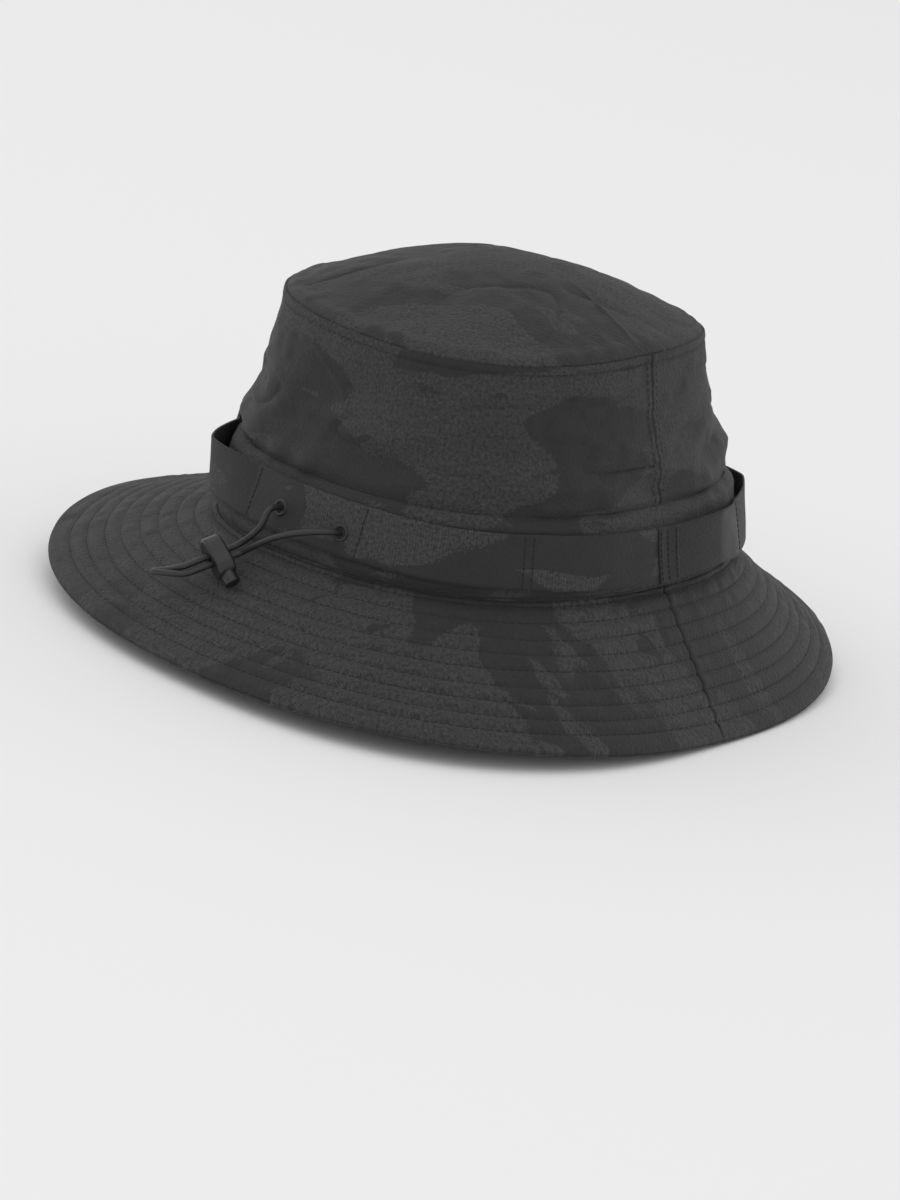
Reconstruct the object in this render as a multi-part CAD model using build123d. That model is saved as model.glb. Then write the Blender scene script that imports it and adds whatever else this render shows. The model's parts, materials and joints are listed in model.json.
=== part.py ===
from build123d import *
import os
from math import cos, pi, radians, sin, sqrt, tan

# Bucket hat with a webbing loop band, a shock cord and a spring cord lock.
# Hat frame: z = 0 is the seam between crown and brim, +Z runs up the crown,
# -Y is the front and +Y the back, where the cord comes out. Angles run
# anticlockwise from +X, seen from above. Millimetres and degrees.

# Crown
HEAD_HALF_WIDTH = 90.5      # oval of the brim seam, side to side
HEAD_HALF_LENGTH = 95.6     # and front to back
OVAL_POWER = 2.35           # 2 is an ellipse, more is squarer
CROWN_HEIGHT = 85.7         # brim seam to tip seam
TIP_HALF_WIDTH = 71.8
TIP_HALF_LENGTH = 77.6
TIP_RISE_RIGHT = 3.0        # the tip seam stands higher on the right
TIP_DIP_BACK = 3.9          # and lower at the back
SEAM_DIP_BACK = 2.1         # the brim seam is lower at the back too
DOME_HEIGHT = 16.5          # tip seam to the top of the tip panel
DOME_ROUNDING = 2.2         # 1 is a cone, more is flatter on top
DOME_STEPS = (0.0, 0.1, 0.25, 0.45, 0.7, 0.9)  # shares of the way to the middle
SHELL = 0.8                 # crown fabric
TIP_GAP = 0.1               # seam allowance between the side panels and the tip

# Seam tapes and sweatband, inside the crown
TAPE = 0.5
TIP_TAPE_HEIGHT = 11.0
SIDE_TAPE_ANGLE = 7.0       # how far round the crown a side tape reaches
SIDE_TAPE_LOW = 33.0
SWEATBAND_HEIGHT = 30.0
SWEATBAND = 1.2
INNER_GAP = 0.3             # between the crown and what lies inside it
LABEL_HEIGHT = 18.0
LABEL_ANGLE = 16.0
LABEL = 0.4

# Brim
BRIM_WIDTH = 62.9           # seam to edge, on the average
BRIM_STRETCH = ((2.8, 1.7), (4.0, 3.2), (3.5, 1.3), (0.3, 0.2))  # its waves round the hat
DROOP = 34.8                # degrees below level, on the average
DROOP_WAVES = ((-13.8, -0.2), (0.7, -0.1), (-3.6, -3.1))
BRIM_FABRIC = 0.7
INTERLINING = 0.6
EDGE_TURNING = 3.5          # the fabric folded in at the brim's edge

# Channel that carries the shock cord round the crown
CHANNEL_LOW = 1.5
CHANNEL_HIGH = 30.5
CHANNEL_DEPTH = 3.6
CHANNEL_FABRIC = 0.7
CHANNEL_SLOPE = 3.5

# Loop band
BAND_LOW = 5.2              # its lower edge above the brim seam, on the average
BAND_RISE = 3.2             # it sits higher than that at the back right
BAND_RISE_ANGLE = 55.0
BAND_HEIGHT = 20.4
BAND = 0.8
BAND_GAP = 0.3              # between the channel and the band
LOOP_PITCH = 36.0           # a bartack every tenth of the way round
# Loop middle, how far its upper and lower edges stand out, and its lift
LOOPS = (
    (18.0, 7.6, 5.6, 1.5),
    (54.0, 6.4, 1.8, 0.5),
    (90.0, 0.5, 0.2, 0.0),
    (126.0, 1.0, 0.4, -0.4),
    (162.0, 0.8, 0.4, 0.0),
    (198.0, 4.6, 3.0, 3.2),
    (234.0, 3.4, 2.2, 1.5),
    (270.0, 2.8, 1.8, 0.5),
    (306.0, 3.2, 2.4, 0.5),
    (342.0, 3.0, 2.0, 0.5),
)
FOLD_SHARPNESS = 0.02
LAP_ANGLES = (176.0, 184.0)  # the band's ends overlap at the side seam
TACK_WIDTH = 1.2
TACK_HEIGHT = 17.0

# Shock cord and its eyelets
CORD = 2.4
EYELETS = {"left": (100.5, 15.7), "right": (82.7, 17.1)}  # angle, height
EYELET_HOLE = 3.3
EYELET_BARREL = 4.6
EYELET_FLANGE = 7.0
EYELET_RIM = 0.5
FLANGE_LIFT = 0.45          # clear of the bowed band

# Cord lock, on both strands
LOCK_AT = Vector(22.7, 115.4, -4.6)
STRAND_WAY = Vector(0.3056, 0.8934, -0.3293)   # along the strands, away from the crown
BARREL_WAY = Vector(-0.775, 0.0345, -0.631)    # along the barrel, to its button
STRAND_PITCH = 3.2
LOCK_LENGTH = 17.0
LOCK_HEIGHT = 9.5
LOCK_THICK = 7.0
LOCK_ROUNDING = 1.3
LOCK_WALL = 1.2             # behind the spring
PLUNGER = 5.9
PLUNGER_CLEARANCE = 0.05
PLUNGER_TRAVEL = 1.5
BUTTON_STANDS_OUT = 3.5
CORD_ROOM = 0.25            # round the strands, in the lock
PLUNGER_FOOT = 1.2          # between the plunger's window and its spring
SPRING_WIRE = 0.35
SPRING_TURNS = 3
STRAIGHT = (-9.5, 14.5)     # the strands run straight between these distances from the lock

# How the hat stands: its crown leans a little to the right
LEAN = 2.5

STEPS = 61                  # points along half a turn


def oval(half_x, half_y, angle):
    """Distance from the axis to an oval, at an angle."""
    x = abs(cos(radians(angle))) / half_x
    y = abs(sin(radians(angle))) / half_y
    return (x**OVAL_POWER + y**OVAL_POWER) ** (-1 / OVAL_POWER)


def at(radius, angle, z):
    """The point at a distance from the axis, an angle and a height."""
    return Vector(radius * cos(radians(angle)), radius * sin(radians(angle)), z)


def waves(table, angle):
    """The sum of waves that go once, twice and more times round the hat."""
    return sum(
        even * cos(radians(times * angle)) + odd * sin(radians(times * angle))
        for times, (even, odd) in enumerate(table, 1)
    )


def crown(angle, height, out=0.0):
    """A point that lies out from the crown's outer face, at a height above the brim seam."""
    share = height / CROWN_HEIGHT
    low = oval(HEAD_HALF_WIDTH, HEAD_HALF_LENGTH, angle)
    high = oval(TIP_HALF_WIDTH, TIP_HALF_LENGTH, angle)
    across, along = cos(radians(angle)), sin(radians(angle))
    low_z = -SEAM_DIP_BACK * low * along / HEAD_HALF_LENGTH
    high_z = CROWN_HEIGHT + TIP_RISE_RIGHT * high * across / TIP_HALF_WIDTH
    high_z -= TIP_DIP_BACK * high * along / TIP_HALF_LENGTH
    radius = low + (high - low) * share + out
    return at(radius, angle, low_z + (high_z - low_z) * share)


def droop(angle):
    """The brim's slope below level, in radians."""
    return radians(DROOP + waves(DROOP_WAVES, angle))


def brim(angle, reach, below=0.0):
    """A point on the brim's upper face, a distance down it from the seam, or below that.

    The distance holds where the brim has its average width, and stretches with it elsewhere.
    """
    reach *= 1 + waves(BRIM_STRETCH, angle) / BRIM_WIDTH
    seam = crown(angle, 0)
    radius = oval(HEAD_HALF_WIDTH, HEAD_HALF_LENGTH, angle) + reach * cos(droop(angle))
    return at(radius, angle, seam.Z - reach * sin(droop(angle)) - below)


def rail(section, corner, start, end, steps):
    """The line that one corner of a section follows round the hat."""
    turn = (end - start) / (steps - 1)
    return Edge.make_spline([section(start + turn * i)[corner] for i in range(steps)])


def strip(section, start, end, steps):
    """A solid whose cross-section at each angle is a polygon."""
    corners = len(section(start))
    rails = [rail(section, corner, start, end, steps) for corner in range(corners)]
    faces = [Face.make_surface_from_curves(rails[i - 1], rails[i]) for i in range(corners)]
    faces += [Face(Wire.make_polygon(section(angle), close=True)) for angle in (start, end)]
    return Solid(Shell(faces))


def ring(section, steps=STEPS):
    """A strip that goes all the way round, in one piece."""
    return strip(section, 0, 180, steps).fuse(strip(section, 180, 360, steps))


def wall(low, high, out, thick):
    """Cross-section of a layer along the crown, from one height to another."""
    return lambda angle: [
        crown(angle, low, out - thick),
        crown(angle, low, out),
        crown(angle, high, out),
        crown(angle, high, out - thick),
    ]


def outward(angle, height, out):
    """The plane that touches a layer of the crown's wall, facing out."""
    point = crown(angle, height, out)
    round_way = crown(angle + 1, height, out) - crown(angle - 1, height, out)
    up_way = crown(angle, height + 1, out) - crown(angle, height - 1, out)
    return Plane(origin=point, x_dir=round_way, z_dir=round_way.cross(up_way))


def tube(points, radii):
    """A cord along straight runs joined by arcs."""
    path = FilletPolyline(*points, radius=radii)
    start = Plane(origin=path @ 0, z_dir=path % 0)
    solid = sweep(start * Circle(CORD / 2), path=path).solids()[0]
    return solid, path.length


def corner_radii(points, share=0.45):
    """For each corner, the largest arc that its two runs allow."""
    radii = []
    for before, here, after in zip(points, points[1:], points[2:]):
        turn = radians((here - before).get_angle(after - here))
        radii.append(share * min((here - before).length, (after - here).length) / tan(turn / 2))
    return radii


# --- crown ---

def dome(share, angle, below=0.0):
    """A point on the tip panel, a share of the way from its seam to the middle."""
    seam = crown(angle, CROWN_HEIGHT)
    radius = sqrt(seam.X**2 + seam.Y**2) * (1 - share)
    rise = DOME_HEIGHT * (1 - (1 - share) ** DOME_ROUNDING)
    z = CROWN_HEIGHT + (seam.Z - CROWN_HEIGHT) * (1 - share) + rise
    return at(radius, angle, z - below)


def dome_ring(outer, inner):
    """One step of the tip panel, between two shares of the way to the middle."""
    return ring(lambda angle: [
        dome(outer, angle, SHELL), dome(outer, angle), dome(inner, angle), dome(inner, angle, SHELL),
    ])


def dome_middle():
    """The flat middle of the tip panel."""
    step = 180 / (STEPS - 1)

    def half(start, below):
        return Edge.make_spline([dome(DOME_STEPS[-1], start + step * i, below) for i in range(STEPS)])

    outlines = [Wire([half(0, below), half(180, below)]) for below in (SHELL, 0)]
    return Solid.make_loft(outlines, True)


def crown_tip():
    panel = dome_middle()
    for outer, inner in zip(DOME_STEPS, DOME_STEPS[1:]):
        panel = panel.fuse(dome_ring(outer, inner))
    return panel


def crown_panel(start, end):
    """Half of the crown's side, between the two side seams."""
    return strip(wall(0, CROWN_HEIGHT - SHELL - TIP_GAP, 0, SHELL), start, end, STEPS)


def tip_seam_tape():
    low = CROWN_HEIGHT - TIP_TAPE_HEIGHT
    return ring(wall(low, CROWN_HEIGHT - SHELL, -SHELL, TAPE))


def side_seam_tape(middle):
    section = wall(SIDE_TAPE_LOW, CROWN_HEIGHT - TIP_TAPE_HEIGHT, -SHELL, TAPE)
    return strip(section, middle - SIDE_TAPE_ANGLE / 2, middle + SIDE_TAPE_ANGLE / 2, 5)


def sweatband():
    low = -BRIM_FABRIC
    return ring(wall(low, SWEATBAND_HEIGHT, -SHELL - INNER_GAP, SWEATBAND))


def care_label():
    """A blank label, sewn to the sweatband's lower edge at the back."""
    out = -SHELL - 2 * INNER_GAP - SWEATBAND
    section = wall(2, 2 + LABEL_HEIGHT, out, LABEL)
    return strip(section, 90 - LABEL_ANGLE / 2, 90 + LABEL_ANGLE / 2, 9)


# --- brim ---

def brim_layer(top, thick, outer):
    """Cross-section of a flat layer of the brim, from the crown's wall to a reach."""
    def section(angle):
        low = crown(angle, 0, -SHELL)
        start = Vector(low.X, low.Y, crown(angle, 0).Z)
        down = Vector(0, 0, 1)
        return [
            start - down * top, brim(angle, 0, top), brim(angle, outer, top),
            brim(angle, outer, top + thick), brim(angle, 0, top + thick), start - down * (top + thick),
        ]
    return section


def brim_lower_section(angle):
    """The lower fabric, with its edge turned up round the interlining."""
    top = BRIM_FABRIC + INTERLINING
    flat = brim_layer(top, BRIM_FABRIC, BRIM_WIDTH)(angle)
    inner = BRIM_WIDTH - EDGE_TURNING
    turned = [brim(angle, inner, top), brim(angle, inner, BRIM_FABRIC), brim(angle, BRIM_WIDTH, BRIM_FABRIC)]
    return flat[:2] + turned + flat[3:]


def brim_upper(start, end):
    return strip(brim_layer(0, BRIM_FABRIC, BRIM_WIDTH), start, end, STEPS)


def brim_lower(start, end):
    return strip(brim_lower_section, start, end, STEPS)


def brim_interlining():
    return ring(brim_layer(BRIM_FABRIC, INTERLINING, BRIM_WIDTH - EDGE_TURNING))


# --- channel, band and cord ---

def channel_section(angle):
    """The channel's fabric, hollow on the crown's side."""
    low, high, depth = CHANNEL_LOW, CHANNEL_HIGH, CHANNEL_DEPTH
    inner = depth - CHANNEL_FABRIC
    lap = 1.3
    return [
        crown(angle, low, 0),
        crown(angle, low + CHANNEL_SLOPE, depth),
        crown(angle, high - CHANNEL_SLOPE, depth),
        crown(angle, high, 0),
        crown(angle, high - lap, 0),
        crown(angle, high - lap - CHANNEL_SLOPE + 0.6, inner),
        crown(angle, low + lap + CHANNEL_SLOPE - 0.6, inner),
        crown(angle, low + lap, 0),
    ]


def band_low(angle):
    """The height of the band's lower edge where it is tacked down."""
    return BAND_LOW + BAND_RISE * cos(radians(angle - BAND_RISE_ANGLE))


def bow(angle):
    """How far the band's upper and lower edges stand out in a loop, and its lift."""
    angle %= 360
    middle, upper, lower, lift = LOOPS[int(angle / LOOP_PITCH) % len(LOOPS)]
    share = abs(angle - middle) / (LOOP_PITCH / 2)
    peak = sqrt(1 + FOLD_SHARPNESS) - sqrt(FOLD_SHARPNESS)
    shape = max(0.0, (sqrt(1 + FOLD_SHARPNESS) - sqrt(share**2 + FOLD_SHARPNESS)) / peak)
    return upper * shape, lower * shape, lift * shape


def band_section(extra=0.0):
    """The webbing at its place outside the channel, or a further layer of it."""
    def section(angle):
        upper, lower, lift = bow(angle)
        inner = CHANNEL_DEPTH + BAND_GAP + extra
        low = band_low(angle) + lift
        high = low + BAND_HEIGHT
        return [
            crown(angle, low, inner + lower), crown(angle, low, inner + lower + BAND),
            crown(angle, high, inner + upper + BAND), crown(angle, high, inner + upper),
        ]
    return section


def bartack(angle):
    """The thread that ties the band to the channel between two loops."""
    half = TACK_WIDTH / 2 / HEAD_HALF_WIDTH * 180 / pi
    low = band_low(angle) + (BAND_HEIGHT - TACK_HEIGHT) / 2
    section = wall(low, low + TACK_HEIGHT, CHANNEL_DEPTH + BAND_GAP, BAND_GAP)
    return strip(section, angle - half, angle + half, 3)


def eyelet_plane(side):
    angle, height = EYELETS[side]
    return outward(angle, height, CHANNEL_DEPTH + BAND_GAP + BAND)


def eyelet_hole(side):
    """The room for an eyelet's barrel, through the band and the channel."""
    return eyelet_plane(side) * extrude(Circle(EYELET_BARREL / 2), amount=3, both=True)


def eyelet(side):
    back = BAND + BAND_GAP + CHANNEL_FABRIC
    front = FLANGE_LIFT
    barrel = extrude(Pos(0, 0, -back) * Circle(EYELET_BARREL / 2), amount=back + front)
    flange = extrude(Pos(0, 0, front) * Circle(EYELET_FLANGE / 2), amount=EYELET_RIM)
    hole = extrude(Pos(0, 0, -back - 1) * Circle(EYELET_HOLE / 2), amount=back + 3)
    return (eyelet_plane(side) * (barrel + flange - hole)).solids()[0]


def mouth(side, out):
    """A point on an eyelet's axis, outside the band or inside it."""
    plane = eyelet_plane(side)
    return plane.origin + plane.z_dir * out


HELD_STEP = 8.5             # degrees between two corners of the cord's way round the crown
HELD_FIRST_STEPS = (0.0, 3.8, 8.8)  # closer together next to an eyelet
HELD_OUT = 1.6              # its middle stands off the crown by this
FLANGE_FACE = FLANGE_LIFT + EYELET_RIM


def held_route():
    """Round the crown inside the channel, from one eyelet to the other."""
    left, right = EYELETS["left"], EYELETS["right"]
    way_round = 360 - (left[0] - right[0])
    long_way = way_round - 2 * HELD_FIRST_STEPS[-1]
    corners = round(long_way / HELD_STEP)
    turns = list(HELD_FIRST_STEPS)
    turns += [HELD_FIRST_STEPS[-1] + long_way * i / corners for i in range(1, corners)]
    turns += [way_round - turn for turn in reversed(HELD_FIRST_STEPS)]
    inside = HELD_OUT - CHANNEL_DEPTH - BAND_GAP - BAND
    points = [mouth("right", FLANGE_FACE), mouth("right", inside)]
    for turn in turns[1:-1]:
        height = right[1] + (left[1] - right[1]) * turn / way_round
        points.append(crown(right[0] - turn, height, HELD_OUT))
    return points + [mouth("left", inside), mouth("left", FLANGE_FACE)]


def held_radii(points):
    """Tight turns out through the eyelets, and wide ones round the crown."""
    tight = CORD * 0.85
    return [tight] + corner_radii(points)[1:-1] + [tight]


def strand(side, along):
    """A point on one of the two strands near the lock; side is -1 or 1."""
    return LOCK_AT + STRAND_WAY * along + BARREL_WAY * (side * STRAND_PITCH / 2)


# The free loop, from the right eyelet through the lock, round its end and back
# through the lock to the left eyelet.
LOOP_ROUTE = [
    mouth("right", FLANGE_FACE),
    mouth("right", FLANGE_FACE + 5.0),
    Vector(12.9, 104.7, 7.7),
    strand(-1, STRAIGHT[0]),
    strand(-1, STRAIGHT[1]),
    Vector(39.5, 127.8, -12.7),
    Vector(38.7, 134.1, -11.9),
    strand(1, STRAIGHT[1]),
    strand(1, STRAIGHT[0]),
    Vector(8.9, 107.5, 4.0),
    Vector(1.1, 107.5, 8.3),
    Vector(-9.0, 105.8, 12.3),
    mouth("left", FLANGE_FACE + 5.5),
    mouth("left", FLANGE_FACE),
]


# --- cord lock, in its own frame: x along the barrel, z along the strands ---

LOCK = Plane(origin=LOCK_AT, x_dir=BARREL_WAY, z_dir=STRAND_WAY)
STRANDS = STRAND_PITCH + CORD                     # both strands, side by side
BORE_END = -LOCK_LENGTH / 2 + LOCK_WALL
PLUNGER_START = -STRANDS / 2 - CORD_ROOM - PLUNGER_FOOT


def along_x(radius, start, end):
    return Plane.YZ.offset(start) * extrude(Circle(radius), amount=end - start)


def cord_lock_body():
    barrel = extrude(SlotOverall(LOCK_LENGTH, LOCK_HEIGHT), amount=LOCK_THICK / 2, both=True)
    barrel = fillet(barrel.faces().sort_by(Axis.Z)[-1].edges(), LOCK_ROUNDING)
    barrel = fillet(barrel.faces().sort_by(Axis.Z)[0].edges(), LOCK_ROUNDING)
    bore = along_x(PLUNGER / 2 + PLUNGER_CLEARANCE, BORE_END, LOCK_LENGTH)
    room = SlotOverall(STRANDS + 2 * CORD_ROOM, CORD + 2 * CORD_ROOM)
    return (LOCK * (barrel - bore - extrude(room, amount=LOCK_THICK, both=True))).solids()[0]


def cord_lock_plunger():
    stem = along_x(PLUNGER / 2, PLUNGER_START, LOCK_LENGTH / 2 + BUTTON_STANDS_OUT)
    stem = fillet(stem.edges().sort_by(Axis.X)[-1], 0.8)
    window_length = STRANDS + 2 * CORD_ROOM + PLUNGER_TRAVEL
    window = Pos(PLUNGER_TRAVEL / 2, 0, 0) * SlotOverall(window_length, CORD + 2 * CORD_ROOM)
    return (LOCK * (stem - extrude(window, amount=LOCK_THICK, both=True))).solids()[0]


def cord_lock_spring():
    room = PLUNGER_START - BORE_END - SPRING_WIRE - 0.1
    coil = Helix(room / SPRING_TURNS, room, PLUNGER / 2 - 0.6)
    wire = sweep(Plane(origin=coil @ 0, z_dir=coil % 0) * Circle(SPRING_WIRE / 2), path=coil)
    placed = Plane(origin=(BORE_END + SPRING_WIRE / 2 + 0.05, 0, 0), x_dir=(0, 1, 0), z_dir=(1, 0, 0))
    return (LOCK * (placed * wire)).solids()[0]


# --- the whole hat ---

def nodes():
    holes = [eyelet_hole(side) for side in EYELETS]
    channel, band = ring(channel_section), ring(band_section(), 2 * STEPS)
    for hole in holes:
        channel = (channel - hole).solids()[0]
        band = (band - hole).solids()[0]
    lap = strip(band_section(BAND), *LAP_ANGLES, 9)
    held = held_route()
    held_cord, held_length = tube(held, held_radii(held))
    loop_radii = corner_radii(LOOP_ROUTE)
    loop_cord, loop_length = tube(LOOP_ROUTE, loop_radii)
    section = pi * (CORD / 2) ** 2
    print("held cord", round(held_length, 1), "volume ratio", round(held_cord.volume / section / held_length, 4))
    print("loop cord", round(loop_length, 1), "volume ratio", round(loop_cord.volume / section / loop_length, 4))
    print("loop radii", [round(radius, 1) for radius in loop_radii])
    print("loop route", [tuple(round(value, 2) for value in point) for point in LOOP_ROUTE])
    return {
        "crown_tip": crown_tip(),
        "crown_back_panel": crown_panel(0, 180),
        "crown_front_panel": crown_panel(180, 360),
        "tip_seam_tape": tip_seam_tape(),
        "side_seam_tape_right": side_seam_tape(0),
        "side_seam_tape_left": side_seam_tape(180),
        "sweatband": sweatband(),
        "care_label": care_label(),
        "brim_upper_back": brim_upper(0, 180),
        "brim_upper_front": brim_upper(180, 360),
        "brim_interlining": brim_interlining(),
        "brim_lower_back": brim_lower(0, 180),
        "brim_lower_front": brim_lower(180, 360),
        "cord_channel": channel,
        "loop_band": Compound(children=[band, lap]),
        "band_bartacks": Compound(children=[bartack(i * LOOP_PITCH) for i in range(len(LOOPS))]),
        "eyelet_left": eyelet("left"),
        "eyelet_right": eyelet("right"),
        "shock_cord_held": held_cord,
        "shock_cord_loop": loop_cord,
        "cord_lock_body": cord_lock_body(),
        "cord_lock_plunger": cord_lock_plunger(),
        "cord_lock_spring": cord_lock_spring(),
    }


def standing(solids):
    """The place that stands the hat on its brim, with its box's middle over the origin."""
    leaning = Rot(0, LEAN, 0)
    hat = [leaning * solids[name] for name in solids if name.startswith(("brim", "crown", "loop"))]
    box = Compound(children=hat).bounding_box()
    return Pos(-box.center().X, -box.center().Y, -box.min.Z) * leaning


os.makedirs("parts", exist_ok=True)
built = nodes()
stand = standing(built)
for name, shape in built.items():
    export_step(stand * shape, f"parts/{name}.step")

origin = stand.position
turned = Rot(0, LEAN, 0)
ways = {"up": Vector(0, 0, 1), "strands": STRAND_WAY, "barrel": BARREL_WAY}
for name, way in ways.items():
    end = (turned * Pos(*way)).position
    print(name, [round(value, 5) for value in end])
print("seam centre", [round(value, 4) for value in origin])
for side in EYELETS:
    print("eyelet", side, [round(value, 2) for value in mouth(side, FLANGE_FACE)], eyelet_plane(side).z_dir)
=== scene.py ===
import json
import math

import bmesh
import bpy
import numpy as np
from mathutils import Matrix, Vector


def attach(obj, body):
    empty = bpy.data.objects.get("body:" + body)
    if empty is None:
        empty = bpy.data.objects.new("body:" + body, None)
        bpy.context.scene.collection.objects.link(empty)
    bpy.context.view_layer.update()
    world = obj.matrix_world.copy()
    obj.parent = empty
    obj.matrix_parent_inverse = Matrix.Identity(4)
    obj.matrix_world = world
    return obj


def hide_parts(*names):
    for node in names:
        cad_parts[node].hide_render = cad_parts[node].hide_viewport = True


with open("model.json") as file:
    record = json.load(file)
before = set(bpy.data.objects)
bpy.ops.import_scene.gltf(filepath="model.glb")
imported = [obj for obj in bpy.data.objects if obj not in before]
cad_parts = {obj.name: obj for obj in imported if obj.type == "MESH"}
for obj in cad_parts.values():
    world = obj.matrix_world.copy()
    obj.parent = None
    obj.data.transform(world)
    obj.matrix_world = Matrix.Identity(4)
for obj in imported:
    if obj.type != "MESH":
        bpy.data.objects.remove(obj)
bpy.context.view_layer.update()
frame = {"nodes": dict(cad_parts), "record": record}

MM = 0.001

# ---------------------------------------------------------------- hat frame
# Millimetres; z = 0 is the seam between crown and brim, +Z up the crown, -Y the
# front. Angles are in degrees, anticlockwise from +X, seen from above.

HEAD_HALF_WIDTH = 90.5
HEAD_HALF_LENGTH = 95.6
OVAL_POWER = 2.35
CROWN_HEIGHT = 85.7
TIP_HALF_WIDTH = 71.8
TIP_HALF_LENGTH = 77.6
TIP_RISE_RIGHT = 3.0
TIP_DIP_BACK = 3.9
SEAM_DIP_BACK = 2.1
DOME_HEIGHT = 23.2
DOME_ROUNDING = 1.9
# The soft crown isn't quite even: how far its tip seam settles, and strays out and
# up as (even, odd) waves once and twice round.
TIP_SETTLES = -3.1
TIP_STRAYS_OUT = ((1.4, 2.3), (0.7, 0.5))
TIP_STRAYS_UP = ((0.4, 0.2), (1.0, 2.0))
BRIM_WIDTH = 62.9
BRIM_STRETCH = ((2.8, 1.7), (4.0, 3.2), (3.5, 1.3), (0.3, 0.2))
BRIM_THICKNESS = 2.0
DROOP = 34.8
DROOP_WAVES = ((-13.8, -0.2), (0.7, -0.1), (-3.6, -3.1))
CHANNEL_LOW = 1.2
CHANNEL_HIGH = 30.8
CHANNEL_DEPTH = 3.2
BAND_INNER = 3.9
BAND = 0.8
BAND_LOW = 5.2
BAND_RISE = 3.2
BAND_RISE_ANGLE = 55.0
BAND_HEIGHT = 20.4
LOOP_PITCH = 36.0
LOOPS = np.array([
    (8.8, 5.6, 1.5), (8.4, 2.4, 0.5), (0.5, 0.2, 0.0), (1.0, 0.4, -0.4), (0.8, 0.4, 0.0),
    (5.4, 3.4, 3.2), (4.6, 2.8, 1.5), (2.8, 1.8, 0.5), (3.2, 2.4, 0.5), (3.0, 2.0, 0.5),
])
FOLD_SHARPNESS = 0.003
SIDE_SEAMS = (1.5, 181.5)
BRIM_ROWS = (2.4, 9.2, 16.0, 22.8, 29.5, 36.2, 42.8, 49.2, 55.2)
THREAD = 0.19
STITCH_BENDS = np.array([0.02, 0.2, 0.8, 0.98])  # a stitch dips into the cloth at both ends
STITCH_LIFTS = np.array([-0.25, 0.12, 0.12, -0.25])

opening = next(m for m in frame["record"]["mounts"] if m["name"] == "head_opening")
up = -Vector(opening["axis"])
turned = Matrix(((up.z, 0, up.x), (0, 1, 0), (-up.x, 0, up.z))).to_4x4()
hat = Matrix.Translation(opening["pos_m"]) @ turned
hat_turn = np.array(hat.to_3x3())
hat_place = np.array(hat.translation)


def to_row(points):
    """Hat-frame millimetres to row-frame metres."""
    return np.asarray(points, float) * MM @ hat_turn.T + hat_place


def smooth(value, low, high):
    """0 below low, 1 above high, eased between."""
    t = np.clip((value - low) / (high - low), 0, 1)
    return t * t * (3 - 2 * t)


def bump_at(value, middle, half):
    """A bell of height 1."""
    return np.exp(-(((value - middle) / half) ** 2))


def unevenness(across, up_way, seed, around=64):
    """Smooth random relief between -1 and 1, over a grid of unit cells that closes after some cells."""
    table = np.random.default_rng(seed).uniform(-1, 1, (around, 64))
    i, j = np.floor(across).astype(int), np.floor(up_way).astype(int)
    s, t = across - i, up_way - j
    s, t = s**3 * (s * (s * 6 - 15) + 10), t**3 * (t * (t * 6 - 15) + 10)
    near = table[i % around, j % 64] * (1 - s) + table[(i + 1) % around, j % 64] * s
    far = table[i % around, (j + 1) % 64] * (1 - s) + table[(i + 1) % around, (j + 1) % 64] * s
    return (near * (1 - t) + far * t) * 1.4


def creases(across, up_way, seed, around=64, sharpness=5):
    """Narrow lines, 1 along them and 0 away from them."""
    return np.clip(1 - np.abs(unevenness(across, up_way, seed, around)), 0, 1) ** sharpness


def oval(half_x, half_y, angle):
    a = np.radians(angle)
    x, y = np.abs(np.cos(a)) / half_x, np.abs(np.sin(a)) / half_y
    return (x**OVAL_POWER + y**OVAL_POWER) ** (-1 / OVAL_POWER)


def at(radius, angle, z):
    a = np.radians(angle)
    radius, a, z = np.broadcast_arrays(radius, a, z)
    return np.stack([radius * np.cos(a), radius * np.sin(a), z], -1)


def waves(table, angle):
    """The sum of waves that go once, twice and more times round the hat."""
    a = np.radians(angle)
    total = 0
    for times, (even, odd) in enumerate(table, 1):
        total = total + (even * np.cos(times * a) + odd * np.sin(times * a))
    return total


def crown(angle, height, out=0.0):
    """A point out from the crown's outer face, at a height above the brim seam."""
    a = np.radians(angle)
    share = height / CROWN_HEIGHT
    low = oval(HEAD_HALF_WIDTH, HEAD_HALF_LENGTH, angle)
    high = oval(TIP_HALF_WIDTH, TIP_HALF_LENGTH, angle)
    low_z = -SEAM_DIP_BACK * low * np.sin(a) / HEAD_HALF_LENGTH
    high_z = CROWN_HEIGHT + TIP_RISE_RIGHT * high * np.cos(a) / TIP_HALF_WIDTH
    high_z = high_z - TIP_DIP_BACK * high * np.sin(a) / TIP_HALF_LENGTH
    soft = smooth(share, 0.35, 1.0)
    settled = CROWN_HEIGHT + TIP_SETTLES + waves(TIP_STRAYS_UP, angle) - high_z
    radius = low + (high - low) * share + waves(TIP_STRAYS_OUT, angle) * soft
    return at(radius + out, angle, low_z + (high_z - low_z) * share + settled * soft)


def round_way(angle, middle):
    """Millimetres round the hat from a seam."""
    return ((angle - middle + 180) % 360 - 180) * math.pi / 180 * HEAD_HALF_WIDTH


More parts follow.
